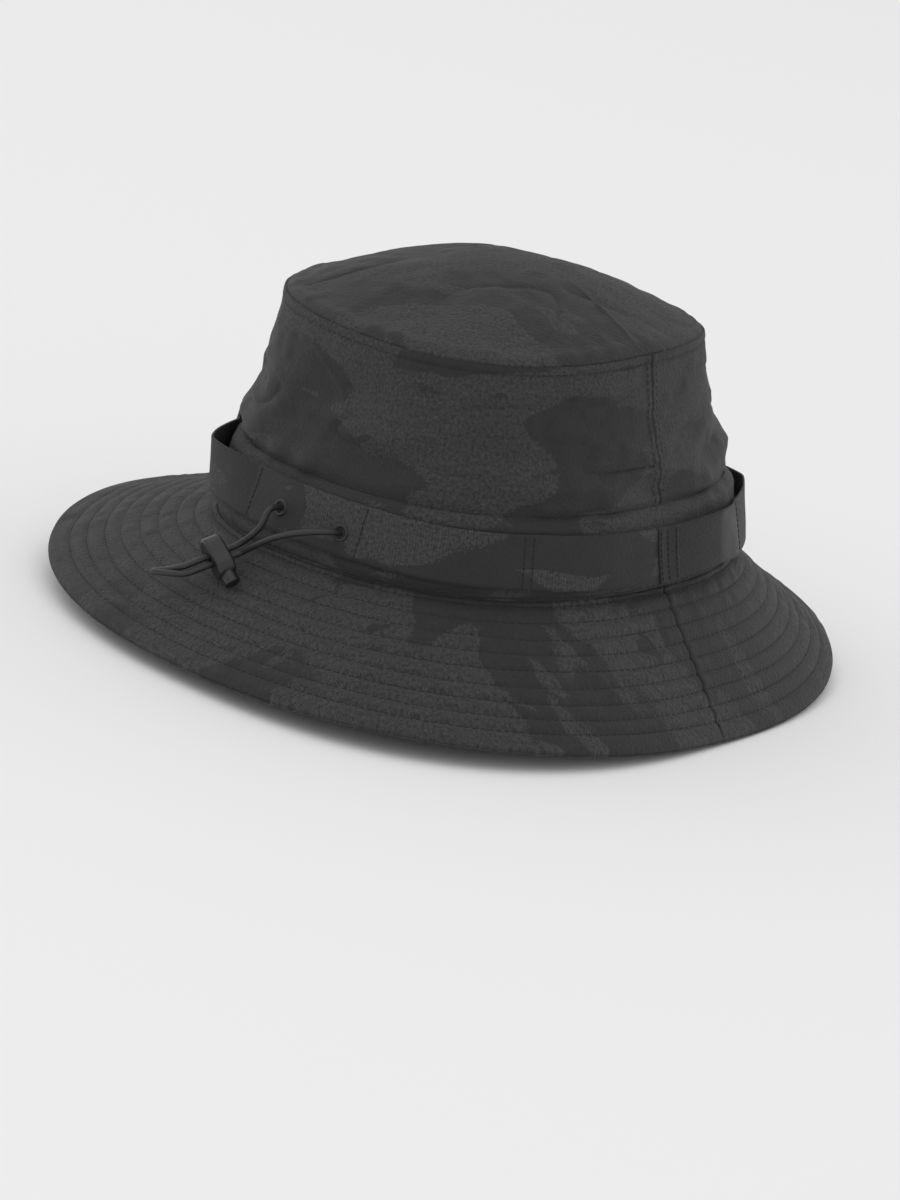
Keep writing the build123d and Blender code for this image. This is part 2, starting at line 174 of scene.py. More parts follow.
def crown_relief(angle, height):
    """How the side panels' cloth stands off their plain form."""
    under = CROWN_HEIGHT - height
    turn = angle / 360
    fade = smooth(under, 1.5, 12) * smooth(height, 31, 40)
    lean = 0.012 * height
    low_down = 1 + 0.9 * bump_at(height, 42, 14)
    folds = 1.1 * unevenness(turn * 14 + lean, height / 30, 3, 14)
    folds += 0.8 * low_down * unevenness(turn * 24 - lean * 2, height / 11, 4, 24)
    folds -= 0.7 * low_down * creases(turn * 15 - lean * 2, height / 13, 5, 15)
    folds += 0.7 * creases(turn * 13 + lean * 3, height / 19 + 0.4, 6, 13)
    folds += 0.2 * unevenness(turn * 110, height / 4.5, 7, 110)
    allowance = 0.5 * (1 - smooth(under, 2.6, 3.6)) - 0.45 * bump_at(under, 3.1, 0.55)
    pucker = 0.22 * unevenness(turn * 110, height / 40, 8, 110) * bump_at(under, 4.5, 4)
    blouse = (2.3 + 1.0 * unevenness(turn * 20, height / 60, 9, 20)) * bump_at(height, 36.5, 6.5)
    gather = 0.8 * unevenness(turn * 64, height / 30, 10, 64) * bump_at(height, 33, 6)
    relief = fade * folds + allowance + pucker + (blouse + gather) * smooth(height, 30.2, 33.5)
    for seam in SIDE_SEAMS:
        away = round_way(angle, seam)
        flap = 0.45 * smooth(away, -3.9, -3.2) * (1 - smooth(away, 3.2, 3.9))
        line = 0.45 * bump_at(away, 0.0, 0.5) + 0.3 * (bump_at(away, -3.0, 0.5) + bump_at(away, 3.0, 0.5))
        relief = relief + (flap - line) * smooth(height, 30, 32)
    return relief


def crown_cloth(angle, height):
    return crown(angle, height, crown_relief(angle, height))


def tip_cloth(angle, share):
    """The tip panel, from its seam, share 0, to its middle, share 1."""
    seam = crown(angle, CROWN_HEIGHT)
    reach = np.hypot(seam[..., 0], seam[..., 1])
    rise = DOME_HEIGHT * (1 - (1 - share) ** DOME_ROUNDING)
    middle = CROWN_HEIGHT + TIP_SETTLES
    z = middle + (seam[..., 2] - middle) * (1 - share) + rise
    plain = at(reach * (1 - share), angle, z)
    x, y = plain[..., 0], plain[..., 1]
    inward = reach * share
    relief = 0.8 * unevenness(x / 45 + 9, y / 45 + 9, 11) + 0.35 * unevenness(x / 18 + 9, y / 21 + 9, 12)
    relief -= 0.9 * creases((x + y) / 46 + 9, (x - y) / 33 + 9, 13)
    relief += 0.2 * unevenness(x / 5 + 30, y / 5 + 30, 14)
    relief *= smooth(inward, 1, 10)
    relief += 0.9 * bump_at(inward, 4.0, 2.6) - 0.5 * bump_at(inward, 0, 0.9)
    relief += 0.28 * unevenness(angle / 360 * 90, inward / 30, 15, 90) * bump_at(inward, 5, 5)
    fold = bump_at(round_way(angle, 178), 0, 1.6 + inward / 40)
    relief += 0.6 * fold * smooth(inward, 2, 8) * (1 - smooth(share, 0.35, 0.6))
    return plain + np.stack([0 * z, 0 * z, relief], -1)


def droop(angle):
    return np.radians(DROOP + waves(DROOP_WAVES, angle))


def brim(angle, reach, lift=0.0):
    """A point above the brim's plain upper face, a distance down it from the seam."""
    slope = droop(angle)
    reach = reach * (1 + waves(BRIM_STRETCH, angle) / BRIM_WIDTH)
    start = oval(HEAD_HALF_WIDTH, HEAD_HALF_LENGTH, angle)
    radius = start + reach * np.cos(slope) + lift * np.sin(slope)
    z = crown(angle, 0)[..., 2] - reach * np.sin(slope) + lift * np.cos(slope)
    return at(radius, angle, z)


def row_reach(row, angle):
    """A stitch row's distance from the seam; rows wander a little."""
    return row + 0.35 * unevenness(angle / 360 * 17 + 0 * row, row / 9 + 0 * angle, 21, 17)


def brim_relief(angle, reach):
    turn = angle / 360
    nearest = np.full(np.broadcast(angle, reach).shape, 99.0)
    for row in BRIM_ROWS:
        nearest = np.minimum(nearest, np.abs(reach - row_reach(row, angle)))
    relief = -0.45 * bump_at(nearest, 0, 0.6) + 0.34 * smooth(nearest, 0.4, 2.6)
    amount = 0.55 + 0.45 * unevenness(turn * 9, reach / 30, 22, 9)
    relief += 0.36 * amount * unevenness(turn * 150, reach / 6.7, 23, 150) * smooth(nearest, 0, 1.5)
    relief += 0.2 * amount * unevenness(turn * 60, reach / 15, 24, 60)
    relief += 0.5 * unevenness(turn * 13, reach / 30, 25, 13) * smooth(reach, 3, 20)
    for seam in SIDE_SEAMS:
        away = round_way(angle, seam) * (1 + reach / 100)
        relief = relief - 0.45 * bump_at(away, 0, 0.6) + 0.22 * bump_at(away, 2.2, 1.6)
    return relief * smooth(reach, 0, 1.5) * (1 - smooth(reach, BRIM_WIDTH - 2.5, BRIM_WIDTH - 0.6))


def brim_edge(along):
    """The reach and the drop of the cloth as it turns over the brim's edge."""
    half = BRIM_THICKNESS / 2
    flat = BRIM_WIDTH - half
    bend = np.clip((along - flat) / half, 0, math.pi / 2)
    return np.minimum(along, flat) + half * np.sin(bend), half * (1 - np.cos(bend))


def brim_upper_cloth(angle, along):
    reach, drop = brim_edge(along)
    return brim(angle, reach, brim_relief(angle, reach) - drop)


def brim_lower_cloth(angle, along):
    reach, drop = brim_edge(along)
    return brim(angle, reach, drop - BRIM_THICKNESS - 0.5 * brim_relief(angle, reach))


def stiffener_cloth(angle, along):
    """The layer held between the brim's two cloths."""
    return brim(angle, along, 0.3 * brim_relief(angle, along) - 0.95)


def channel_cloth(angle, height):
    """The gathered tunnel round the crown."""
    turn = angle / 360
    out = CHANNEL_DEPTH * smooth(height, CHANNEL_LOW - 2, 5.0) * (1 - smooth(height, 26.5, CHANNEL_HIGH + 1))
    ends = 1 - smooth(height, 3, 9) * (1 - smooth(height, 22, 29))
    out += 0.35 * (0.25 + ends) * unevenness(turn * 84, height / 20, 31, 84)
    out += 0.3 * ends * unevenness(turn * 26, height / 12, 32, 26)
    return crown(angle, height, np.minimum(out, BAND_INNER - 0.15))


def band_low(angle):
    return BAND_LOW + BAND_RISE * np.cos(np.radians(angle - BAND_RISE_ANGLE))


def band_cloth(angle, across, extra=0.0):
    """The webbing's outer face; across is 0 at its lower edge and 1 at its upper one."""
    which = np.floor(angle % 360 / LOOP_PITCH).astype(int) % len(LOOPS)
    upper, lower, lift = np.moveaxis(LOOPS[which], -1, 0)
    share = np.abs(angle % LOOP_PITCH - LOOP_PITCH / 2) / (LOOP_PITCH / 2)
    peak = math.sqrt(1 + FOLD_SHARPNESS) - math.sqrt(FOLD_SHARPNESS)
    shape = np.clip((math.sqrt(1 + FOLD_SHARPNESS) - np.sqrt(share**2 + FOLD_SHARPNESS)) / peak, 0, 1)
    height = band_low(angle) + lift * shape + across * BAND_HEIGHT
    out = BAND_INNER + BAND + extra + (lower + (upper - lower) * across) * shape
    out = out + 0.15 * unevenness(angle / 360 * 60, across * 3, 33, 60)
    return crown(angle, height, out)


def inner_wall(out):
    """A layer of cloth inside the crown."""
    def layer(angle, height):
        ease = 0.2 * unevenness(angle / 360 * 70, height / 12, 41, 70)
        return crown(angle, height, out + ease)
    return layer


# ---------------------------------------------------------------- making cloth

def mesh_piece(name, mesh, material, body, stands_for=()):
    piece = bpy.data.objects.new(name, mesh)
    bpy.context.scene.collection.objects.link(piece)
    mesh.materials.append(material)
    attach(piece, body)
    if stands_for:
        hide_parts(*stands_for)
    return piece


def sewn_cloth(name, layer, spans, steps, thickness, material, stands_for=(), cut=None, inward=False):
    """A layer of cloth over a span of angles and a second span, with its thickness behind it."""
    (first, last), (low, high) = spans
    form = bmesh.new()
    bmesh.ops.create_grid(form, x_segments=steps[0], y_segments=steps[1], size=0.5)
    mesh = bpy.data.meshes.new(name)
    form.to_mesh(mesh)
    form.free()
    flat = np.zeros(len(mesh.vertices) * 3)
    mesh.vertices.foreach_get("co", flat)
    flat = flat.reshape(-1, 3)
    angle = first + (last - first) * (flat[:, 0] + 0.5)
    other = low + (high - low) * (flat[:, 1] + 0.5)
    points = layer(angle, other)
    mesh.vertices.foreach_set("co", to_row(points).ravel())
    lay = cut(angle, other, points) if cut else np.stack([angle * math.pi / 180 * HEAD_HALF_WIDTH, other], -1)
    corners = np.zeros(len(mesh.loops), int)
    mesh.loops.foreach_get("vertex_index", corners)
    cloth_map = mesh.uv_layers.new(name="cloth")
    cloth_map.data.foreach_set("uv", (lay[corners] * MM).ravel())
    form = bmesh.new()
    form.from_mesh(mesh)
    bmesh.ops.remove_doubles(form, verts=form.verts, dist=1e-6)
    form.normal_update()
    middle = Vector(to_row([0, 0, 20]))
    outside = sum(face.normal.dot(face.calc_center_median() - middle) for face in form.faces)
    if (outside < 0) != inward:
        bmesh.ops.reverse_faces(form, faces=form.faces)
    for face in form.faces:
        face.smooth = True
    form.to_mesh(mesh)
    form.free()
    piece = mesh_piece(name, mesh, material, "hat", stands_for)
    solid = piece.modifiers.new("thickness", "SOLIDIFY")
    solid.thickness = thickness * MM
    solid.offset = -1
    return piece


def flat_cut(angle, other, points):
    """Where the brim or tip lay on the flat cloth, its pattern turned to the way it was cut."""
    turn = math.radians(40)
    x, y = points[:, 0], points[:, 1]
    return np.stack([x * math.cos(turn) + y * math.sin(turn), y * math.cos(turn) - x * math.sin(turn)], -1)


def stitching(name, rows, material, pitch, thread=THREAD, share=0.72):
    """Running stitches along rows; each row is a layer, its angles and its other values."""
    curve = bpy.data.curves.new(name, "CURVE")
    curve.dimensions = "3D"
    curve.bevel_depth = thread * MM
    curve.bevel_resolution = 0
    for layer, angles, others in rows:
        angles, others = np.broadcast_arrays(np.asarray(angles, float), np.asarray(others, float))
        points = layer(angles, others)
        facing = np.cross(layer(angles + 0.05, others) - points, layer(angles, others + 0.05) - points)
        facing /= np.linalg.norm(facing, axis=1)[:, None] + 1e-12
        outward = np.sum(facing * (points - [0, 0, 20]), axis=1)
        facing *= np.where(np.median(outward) < 0, -1, 1)
        run = np.concatenate([[0], np.cumsum(np.linalg.norm(np.diff(points, axis=0), axis=1))])
        count = max(int(run[-1] / pitch), 1)
        step = run[-1] / count
        within = STITCH_BENDS * share + (1 - share) / 2
        places = (np.arange(count)[:, None] + within) * step
        spots = np.stack([np.interp(places, run, points[:, k]) for k in range(3)], -1)
        normals = np.stack([np.interp(places, run, facing[:, k]) for k in range(3)], -1)
        spots = to_row(spots + normals * STITCH_LIFTS[None, :, None])
        for spot in spots:
            spline = curve.splines.new("POLY")
            spline.points.add(3)
            spline.points.foreach_set("co", np.concatenate([spot, np.ones((4, 1))], 1).ravel())
    piece = bpy.data.objects.new(name, curve)
    bpy.context.scene.collection.objects.link(piece)
    curve.materials.append(material)
    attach(piece, "hat")
    return piece


# ---------------------------------------------------------------- finishes

def node_group(name, inputs, outputs):
    group = bpy.data.node_groups.new(name, "ShaderNodeTree")
    for label, kind, default in inputs:
        socket = group.interface.new_socket(label, in_out="INPUT", socket_type=kind)
        if default is not None:
            socket.default_value = default
    for label, kind in outputs:
        group.interface.new_socket(label, in_out="OUTPUT", socket_type=kind)
    return group, group.nodes.new("NodeGroupInput"), group.nodes.new("NodeGroupOutput")


def wire(tree, start, end):
    tree.links.new(start, end)


def maths(tree, operation, first, second=None):
    node = tree.nodes.new("ShaderNodeMath")
    node.operation = operation
    for socket, value in zip(node.inputs, (first, second)):
        if value is None:
            continue
        if isinstance(value, (int, float)):
            socket.default_value = value
        else:
            wire(tree, value, socket)
    return node.outputs[0]


def speckle(tree, vector, scale, detail=2.0, roughness=0.5, distortion=0.0):
    node = tree.nodes.new("ShaderNodeTexNoise")
    node.inputs["Scale"].default_value = scale
    node.inputs["Detail"].default_value = detail
    node.inputs["Roughness"].default_value = roughness
    node.inputs["Distortion"].default_value = distortion
    wire(tree, vector, node.inputs["Vector"])
    return node.outputs["Fac"]


def placed(tree, vector, scale=(1, 1, 1), location=(0, 0, 0), turn=0.0):
    node = tree.nodes.new("ShaderNodeMapping")
    node.inputs["Scale"].default_value = scale
    node.inputs["Location"].default_value = location
    node.inputs["Rotation"].default_value = (0, 0, math.radians(turn))
    wire(tree, vector, node.inputs["Vector"])
    return node.outputs["Vector"]


def blended(tree, amount, first, second):
    node = tree.nodes.new("ShaderNodeMix")
    node.data_type = "RGBA"
    wire(tree, amount, node.inputs["Factor"])
    for socket, value in ((node.inputs["A"], first), (node.inputs["B"], second)):
        if isinstance(value, tuple):
            socket.default_value = (*value, 1)
        else:
            wire(tree, value, socket)
    return node.outputs["Result"]


FINE_THREAD_PITCH = 0.0008


def patchwork_weave():
    """Two tones of one colour in woven patches; the paler patches show a ribbed twill. The weave's relief is
    also painted into the colour as shade.
    """
    group, given, put = node_group(
        "Patchwork weave",
        [("Vector", "NodeSocketVector", None), ("Pale", "NodeSocketColor", (0.052, 0.0512, 0.0527, 1)),
         ("Dark", "NodeSocketColor", (0.0258, 0.0245, 0.0249, 1)), ("Rib pitch", "NodeSocketFloat", 0.00105),
         ("Slant", "NodeSocketFloat", 1.0), ("Offset", "NodeSocketFloat", 0.0)],
        [("Color", "NodeSocketColor"), ("Height", "NodeSocketFloat"), ("Roughness", "NodeSocketFloat")],
    )
    vector = given.outputs["Vector"]
    shifted = group.nodes.new("ShaderNodeVectorMath")
    shifted.operation = "ADD"
    wire(group, vector, shifted.inputs[0])
    wire(group, given.outputs["Offset"], shifted.inputs[1])
    large = speckle(group, placed(group, shifted.outputs[0], (0.5, 1.0, 1), turn=6), 24, 2.2, 0.5, 0.25)
    small = speckle(group, placed(group, shifted.outputs[0], (0.5, 1.25, 1), (0.3, 0.7, 0)),
                    60, 1.8, 0.45, 0.4)
    fraying = maths(group, "SUBTRACT", speckle(group, vector, 1400, 1, 0.5), 0.5)
    frayed = maths(group, "MULTIPLY", fraying, 0.05)
    stepped = maths(group, "GREATER_THAN", maths(group, "ADD", large, frayed), 0.485)
    islands = maths(group, "GREATER_THAN", maths(group, "ADD", small, frayed), 0.66)
    holes = maths(group, "GREATER_THAN", maths(group, "ADD", small, frayed), 0.33)
    pale = maths(group, "MULTIPLY", maths(group, "MAXIMUM", stepped, islands), holes)
    split = group.nodes.new("ShaderNodeSeparateXYZ")
    wire(group, vector, split.inputs[0])
    slanted = maths(group, "MULTIPLY", split.outputs["Y"], given.outputs["Slant"])
    count = maths(group, "DIVIDE", 2 * math.pi, given.outputs["Rib pitch"])
    rib = maths(group, "ADD", split.outputs["X"], slanted)
    warp = maths(group, "SINE", maths(group, "MULTIPLY", rib, count))
    across = maths(group, "SUBTRACT", split.outputs["Y"], split.outputs["X"])
    fine = maths(group, "SINE", maths(group, "MULTIPLY", across, 2 * math.pi / FINE_THREAD_PITCH))
    cloudy = maths(group, "SUBTRACT", speckle(group, vector, 760, 3, 0.8), 0.5)
    dusty = speckle(group, placed(group, vector, (1, 1, 1), (0.2, 0.1, 0)), 60, 3, 0.6)
    # Painted shade: the colour is scaled with the relief height (lift), so ribs and speckle are darker where the
    # cloth lies low and lighter where it stands up; dust adds an uneven tone on top.
    twill = maths(group, "ADD", maths(group, "MULTIPLY", warp, 0.3), maths(group, "MULTIPLY", cloudy, 4.5))
    lift = maths(group, "ADD", maths(group, "MULTIPLY", twill, pale), maths(group, "MULTIPLY", cloudy, 2.5))
    height = maths(group, "ADD", lift, maths(group, "MULTIPLY", fine, 0.15))
    tone = blended(group, pale, given.outputs["Dark"], given.outputs["Pale"])
    dust = maths(group, "ADD", maths(group, "MULTIPLY", dusty, 0.24), 0.76)
    shade = maths(group, "ADD", maths(group, "MULTIPLY", lift, 0.42), dust)
    scaled = group.nodes.new("ShaderNodeVectorMath")
    scaled.operation = "SCALE"
    wire(group, tone, scaled.inputs[0])
    wire(group, shade, scaled.inputs["Scale"])
    wire(group, scaled.outputs[0], put.inputs["Color"])
    wire(group, height, put.inputs["Height"])
    wire(group, maths(group, "ADD", maths(group, "MULTIPLY", pale, 0.1), 0.62), put.inputs["Roughness"])
    return group


def grain_group():
    """Fine uneven grain for plastic, thread, metal and cord."""
    group, given, put = node_group(
        "Fine grain",
        [("Vector", "NodeSocketVector", None), ("Tone", "NodeSocketColor", (0.02, 0.02, 0.02, 1)),
         ("Grain", "NodeSocketFloat", 1500.0), ("Gloss", "NodeSocketFloat", 0.4),
         ("Wear", "NodeSocketFloat", 0.3)],
        [("Color", "NodeSocketColor"), ("Height", "NodeSocketFloat"), ("Roughness", "NodeSocketFloat")],
    )
    node = group.nodes.new("ShaderNodeTexNoise")
    node.inputs["Detail"].default_value = 3
    wire(group, given.outputs["Vector"], node.inputs["Vector"])
    wire(group, given.outputs["Grain"], node.inputs["Scale"])
    broad = speckle(group, given.outputs["Vector"], 90, 3, 0.6)
    worn = maths(group, "MULTIPLY", broad, given.outputs["Wear"])
    level = maths(group, "SUBTRACT", 1.0, maths(group, "MULTIPLY", given.outputs["Wear"], 0.5))
    shade = maths(group, "ADD", worn, level)
    scaled = group.nodes.new("ShaderNodeVectorMath")
    scaled.operation = "SCALE"
    wire(group, given.outputs["Tone"], scaled.inputs[0])
    wire(group, shade, scaled.inputs["Scale"])
    wire(group, scaled.outputs[0], put.inputs["Color"])
    wire(group, node.outputs["Fac"], put.inputs["Height"])
    patchy = maths(group, "MULTIPLY", maths(group, "SUBTRACT", broad, 0.5), 0.25)
    wire(group, maths(group, "ADD", given.outputs["Gloss"], patchy), put.inputs["Roughness"])
    return group


weave = patchwork_weave()
grain = grain_group()


def finish_material(name, group, values, source, relief, distance, **sockets):
    material = bpy.data.materials.new(name)
    material.use_nodes = True
    tree = material.node_tree
    shader = tree.nodes["Principled BSDF"]
    holder = tree.nodes.new("ShaderNodeGroup")
    holder.node_tree = group
    for label, value in values.items():
        holder.inputs[label].default_value = value
    if source == "cloth":
        coordinates = tree.nodes.new("ShaderNodeUVMap")
        coordinates.uv_map = "cloth"
        wire(tree, coordinates.outputs["UV"], holder.inputs["Vector"])
    else:
        coordinates = tree.nodes.new("ShaderNodeTexCoord")
        wire(tree, coordinates.outputs["Object"], holder.inputs["Vector"])
    bump = tree.nodes.new("ShaderNodeBump")
    bump.inputs["Strength"].default_value = relief
    bump.inputs["Distance"].default_value = distance
    wire(tree, holder.outputs["Height"], bump.inputs["Height"])
    wire(tree, bump.outputs["Normal"], shader.inputs["Normal"])
    wire(tree, holder.outputs["Color"], shader.inputs["Base Color"])
    wire(tree, holder.outputs["Roughness"], shader.inputs["Roughness"])
    for label, value in sockets.items():
        shader.inputs[label.replace("_", " ")].default_value = value
    return material


cloth_sockets = {"Sheen_Weight": 0.08, "Sheen_Roughness": 0.5, "Specular_IOR_Level": 0.25}
hat_cloth = finish_material("hat cloth", weave, {}, "cloth", 0.9, 0.0003, **cloth_sockets)
tip_fabric = finish_material("tip cloth", weave, {"Offset": 0.37}, "cloth", 0.9, 0.0003, **cloth_sockets)
brim_fabric = finish_material("brim cloth", weave, {"Offset": 0.71}, "cloth", 0.9, 0.0003, **cloth_sockets)
webbing = finish_material(
    "ribbed webbing", weave, {"Slant": 0.0, "Rib pitch": 0.0011, "Offset": 0.2},
    "cloth", 0.7, 0.00025, **cloth_sockets)
lining = finish_material(
    "lining tape", weave, {"Pale": (0.02, 0.02, 0.022, 1), "Dark": (0.018, 0.018, 0.02, 1), "Rib pitch": 0.0009},
    "cloth", 0.5, 0.0002, **cloth_sockets)
label_cloth = finish_material(
    "label satin", weave, {"Pale": (0.55, 0.55, 0.54, 1), "Dark": (0.52, 0.52, 0.51, 1), "Rib pitch": 0.0004},
    "cloth", 0.4, 0.0001, Sheen_Weight=0.2)
thread = finish_material(
    "sewing thread", grain, {"Tone": (0.008, 0.008, 0.009, 1), "Grain": 3000.0, "Gloss": 0.7},
    "object", 0.5, 0.0001)
stiffener = finish_material(
    "stiffener", grain, {"Tone": (0.1, 0.1, 0.1, 1), "Grain": 700.0, "Gloss": 0.9},
    "object", 0.5, 0.0003)
cord_cover = finish_material(
    "cord braid", grain, {"Tone": (0.016, 0.016, 0.018, 1), "Grain": 2600.0, "Gloss": 0.42, "Wear": 0.5},
    "object", 0.8, 0.00025)
lock_plastic = finish_material(
    "moulded plastic", grain, {"Tone": (0.014, 0.014, 0.015, 1), "Grain": 1800.0, "Gloss": 0.36, "Wear": 0.3},
    "object", 0.25, 0.00008)
eyelet_paint = finish_material(
    "black enamel", grain, {"Tone": (0.012, 0.012, 0.013, 1), "Grain": 900.0, "Gloss": 0.4, "Wear": 0.6},
    "object", 0.2, 0.0001)
spring_wire = finish_material(
    "spring wire", grain, {"Tone": (0.55, 0.55, 0.56, 1), "Grain": 1200.0, "Gloss": 0.3},
    "object", 0.2, 0.0001, Metallic=1.0)

# ---------------------------------------------------------------- camera

CAMERA_AZIMUTH = -140.069
CAMERA_HEIGHT = 14.105
CAMERA_ROLL = 6.998
CAMERA_AIM = (0, 0, 26.61)
CAMERA_DISTANCE = 1673.3

a, e, r = (math.radians(v) for v in (CAMERA_AZIMUTH, CAMERA_HEIGHT, CAMERA_ROLL))
back = Vector((math.sin(a) * math.cos(e), -math.cos(a) * math.cos(e), math.sin(e)))
level = Vector((math.cos(a), math.sin(a), 0))
rise = back.cross(level)
camera_right = level * math.cos(r) + rise * math.sin(r)
camera_up = -level * math.sin(r) + rise * math.cos(r)
eye = (Vector(CAMERA_AIM) + back * CAMERA_DISTANCE) * MM
camera_data = bpy.data.cameras.new("camera")
camera = bpy.data.objects.new("camera", camera_data)
bpy.context.scene.collection.objects.link(camera)
stance = Matrix((camera_right, camera_up, back)).transposed().to_4x4()
camera.matrix_world = hat @ Matrix.Translation(eye) @ stance
camera_data.sensor_fit = "HORIZONTAL"
camera_data.sensor_width = 36
camera_data.lens = 176.97
camera_data.shift_x = -0.0379
camera_data.shift_y = -0.16
camera_data.clip_end = 100
bpy.context.scene.camera = camera

# ---------------------------------------------------------------- cord

CORD_ROUTE = (
    (12.41, 97.24, 14.93), (12.76, 102.12, 15.98), (12.9, 104.7, 7.7), (21.04, 106.86, -0.46),
    (28.37, 128.3, -8.37), (39.5, 127.8, -12.7), (38.7, 134.1, -11.9), (25.89, 128.41, -10.38),
    (18.56, 106.97, -2.48), (8.9, 107.5, 4.0), (1.1, 107.5, 8.3), (-9.0, 105.8, 12.3),
    (-18.57, 102.33, 14.56), (-17.92, 97.0, 13.39),
)
STRAIGHT_STARTS = (3, 7)
CORD = 2.4

controls = []
for i, point in enumerate(CORD_ROUTE):
    controls.append(Vector(point))
    if i in STRAIGHT_STARTS:
        following = Vector(CORD_ROUTE[i + 1])
        controls += [Vector(point).lerp(following, 0.2), Vector(point).lerp(following, 0.8)]
cord_curve = bpy.data.curves.new("shock_cord", "CURVE")
cord_curve.dimensions = "3D"
line = cord_curve.splines.new("NURBS")
line.points.add(len(controls) - 1)
for spot, point in zip(line.points, controls):
    spot.co = (*to_row(point), 1)
line.order_u = 3
line.use_endpoint_u = True
line.resolution_u = 16
cord_curve.bevel_depth = CORD / 2 * MM
cord_curve.bevel_resolution = 4
cord_curve.materials.append(cord_cover)
shock_cord = bpy.data.objects.new("shock_cord", cord_curve)
bpy.context.scene.collection.objects.link(shock_cord)
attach(shock_cord, "hat")
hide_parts("shock_cord_loop")

# ---------------------------------------------------------------- cloth pieces

left_seam = SIDE_SEAMS[1] - 360
halves = {"back": (SIDE_SEAMS[0], SIDE_SEAMS[1]), "front": (left_seam, SIDE_SEAMS[0])}
BRIM_TURNED = BRIM_WIDTH + 0.55     # along the cloth, to the middle of its turned edge
WEBBING_RADIUS = 96
LAP_PATTERN_SHIFT = 31


def webbing_lay(angle, across, points, shift=0):
    """Where the webbing lay on its flat length."""
    return np.stack([angle * math.pi / 180 * WEBBING_RADIUS + shift, across * BAND_HEIGHT], -1)


def lap_cloth(angle, across):
    """The webbing's second layer, where its ends overlap."""
    return band_cloth(angle, across, BAND)


for side, span in halves.items():
    sewn_cloth(f"crown_{side}_cloth", crown_cloth, (span, (0, CROWN_HEIGHT)), (340, 100), 0.8, hat_cloth,
               [f"crown_{side}_panel"])
    sewn_cloth(f"brim_upper_{side}_cloth", brim_upper_cloth, (span, (0, BRIM_TURNED)), (420, 84), 0.6,
               brim_fabric, [f"brim_upper_{side}"], flat_cut)
    sewn_cloth(f"brim_lower_{side}_cloth", brim_lower_cloth, (span, (0, BRIM_TURNED)), (300, 78), 0.6,
               brim_fabric, [f"brim_lower_{side}"], flat_cut)
sewn_cloth("brim_stiffener", stiffener_cloth, ((0, 360), (0.5, BRIM_WIDTH - 3.5)), (360, 40), 0.3,
           stiffener, ["brim_interlining"], flat_cut)
sewn_cloth("tip_panel_cloth", tip_cloth, ((0, 360), (0, 1)), (540, 80), 0.8,
           tip_fabric, ["crown_tip"], flat_cut)
sewn_cloth("channel_cloth", channel_cloth, ((0, 360), (CHANNEL_LOW, CHANNEL_HIGH)), (1080, 26), 0.6,
           hat_cloth, ["cord_channel"])
sewn_cloth("loop_webbing", band_cloth, ((0, 360), (0, 1)), (1440, 14), 0.7,
           webbing, ["loop_band"], webbing_lay)
sewn_cloth("webbing_lap", lap_cloth, ((177.0, 183.2), (0, 1)), (28, 14), 0.7, webbing, (),
           lambda angle, across, points: webbing_lay(angle, across, points, LAP_PATTERN_SHIFT))
sewn_cloth("sweatband_cloth", inner_wall(-2.3), ((0, 360), (-1.2, 30)), (360, 24), 0.9,
           lining, ["sweatband"], inward=True)
sewn_cloth("tip_seam_binding", inner_wall(-1.4), ((0, 360), (75, 84.4)), (240, 10), 0.4,
           lining, ["tip_seam_tape"], inward=True)
for side, seam in (("right", 0), ("left", 180)):
    sewn_cloth(f"side_seam_binding_{side}", inner_wall(-1.4), ((seam - 3.5, seam + 3.5), (33, 74.5)),
               (12, 40), 0.4, lining, [f"side_seam_tape_{side}"], inward=True)
sewn_cloth("blank_label", inner_wall(-2.9), ((82, 98), (2, 20)), (30, 20), 0.3,
           label_cloth, ["care_label"], inward=True)

# ---------------------------------------------------------------- stitches

around = np.linspace(0, 360, 1441)
upper_rows = [(brim_upper_cloth, around, row_reach(row, around)) for row in BRIM_ROWS]
lower_rows = [(brim_lower_cloth, around, row_reach(row, around)) for row in BRIM_ROWS]
stitching("brim_upper_stitches", upper_rows, thread, 2.9)
stitching("brim_lower_stitches", lower_rows, thread, 2.9)
crown_rows = [(crown_cloth, around, CROWN_HEIGHT - 3.1)]
heights = np.linspace(31.5, CROWN_HEIGHT - 3.5, 200)
for seam in SIDE_SEAMS:
    for offset in (-2.0, 2.0):
        crown_rows.append((crown_cloth, seam + offset, heights))
stitching("crown_stitches", crown_rows, thread, 2.6)
full_width = np.linspace(0.03, 0.97, 60)
tack_rows = []
TACKS = ((0, 0), (36, 0), (73.5, -1.2), (106, -1.2), (141, 0), (143, 0), (216, 0), (252, 0), (288, 0), (324, 0))
for tack, lean in TACKS:
    tack_rows.append((band_cloth, tack + lean * (1 - full_width), full_width))
for lap in (177.6, 180.0, 182.6):
    tack_rows.append((lap_cloth, lap, full_width))
tacks = stitching("webbing_tack_stitches", tack_rows, thread, 2.0, 0.26, 0.8)
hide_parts("band_bartacks")

# ---------------------------------------------------------------- eyelets

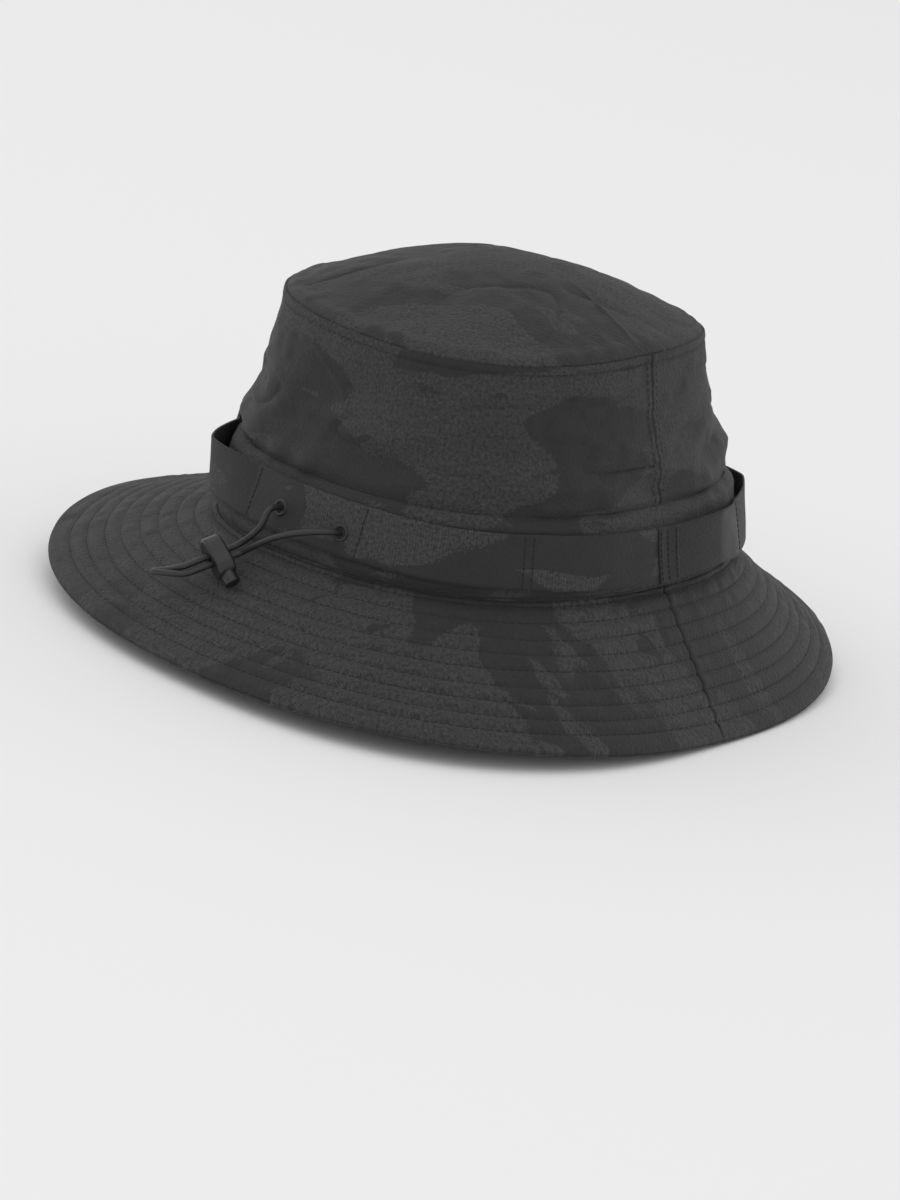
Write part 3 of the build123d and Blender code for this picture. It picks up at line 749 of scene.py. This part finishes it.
EYELETS = {"left": (100.5, 15.7), "right": (82.7, 17.1)}
for side, (angle, height) in EYELETS.items():
    spot = crown(angle, height, BAND_INNER + BAND)
    seat = crown(angle, height)
    facing = Vector(np.cross(crown(angle + 1, height) - seat, crown(angle, height + 1) - seat))
    facing.normalize()
    ring = bmesh.new()
    section = Matrix.Translation((2.6, 0, 0.2)) @ Matrix.Rotation(math.pi / 2, 4, "X")
    bmesh.ops.create_circle(ring, segments=10, radius=0.75, matrix=section)
    bmesh.ops.scale(ring, vec=(1, 1, 0.7), verts=ring.verts)
    bmesh.ops.spin(ring, geom=ring.verts[:] + ring.edges[:], cent=(0, 0, 0), axis=(0, 0, 1),
                   angle=2 * math.pi, steps=40, use_merge=True)
    bmesh.ops.remove_doubles(ring, verts=ring.verts, dist=0.001)
    bmesh.ops.recalc_face_normals(ring, faces=ring.faces)
    for face in ring.faces:
        face.smooth = True
    stand = Matrix.Translation(Vector(spot)) @ facing.to_track_quat("Z", "Y").to_matrix().to_4x4()
    bmesh.ops.transform(ring, matrix=hat @ Matrix.Scale(MM, 4) @ stand, verts=ring.verts)
    mesh = bpy.data.meshes.new(f"eyelet_ring_{side}")
    ring.to_mesh(mesh)
    ring.free()
    mesh_piece(f"eyelet_ring_{side}", mesh, eyelet_paint, "hat", [f"eyelet_{side}"])

# ---------------------------------------------------------------- kept parts

kept = {"shock_cord_held": cord_cover, "cord_lock_body": lock_plastic, "cord_lock_plunger": lock_plastic,
        "cord_lock_spring": spring_wire}
for name, material in kept.items():
    node = frame["nodes"][name]
    node.data.materials.clear()
    node.data.materials.append(material)

# ---------------------------------------------------------------- floor and light

floor_form = bmesh.new()
bmesh.ops.create_grid(floor_form, x_segments=1, y_segments=1, size=12)
floor_mesh = bpy.data.meshes.new("floor")
floor_form.to_mesh(floor_mesh)
floor_form.free()
floor = bpy.data.objects.new("floor", floor_mesh)
bpy.context.scene.collection.objects.link(floor)
floor_paint = bpy.data.materials.new("floor")
floor_paint.use_nodes = True
floor_shader = floor_paint.node_tree.nodes["Principled BSDF"]
floor_shader.inputs["Base Color"].default_value = (0.93, 0.93, 0.93, 1)
floor_shader.inputs["Roughness"].default_value = 1.0
floor_shader.inputs["Specular IOR Level"].default_value = 0.0
floor_mesh.materials.append(floor_paint)

world = bpy.data.worlds.new("studio")
world.use_nodes = True
world.node_tree.nodes["Background"].inputs["Color"].default_value = (1, 1, 1, 1)
world.node_tree.nodes["Background"].inputs["Strength"].default_value = 0.83
bpy.context.scene.world = world


def soft_light(name, place, size, power):
    data = bpy.data.lights.new(name, "AREA")
    data.size = size
    data.energy = power
    lamp = bpy.data.objects.new(name, data)
    bpy.context.scene.collection.objects.link(lamp)
    lamp.location = place
    lamp.rotation_mode = "QUATERNION"
    lamp.rotation_quaternion = (-Vector(place)).to_track_quat("-Z", "Y")


soft_light("overhead", (0.3, 0.9, 2.6), 2.5, 8)
bpy.context.scene.view_settings.view_transform = "Standard"
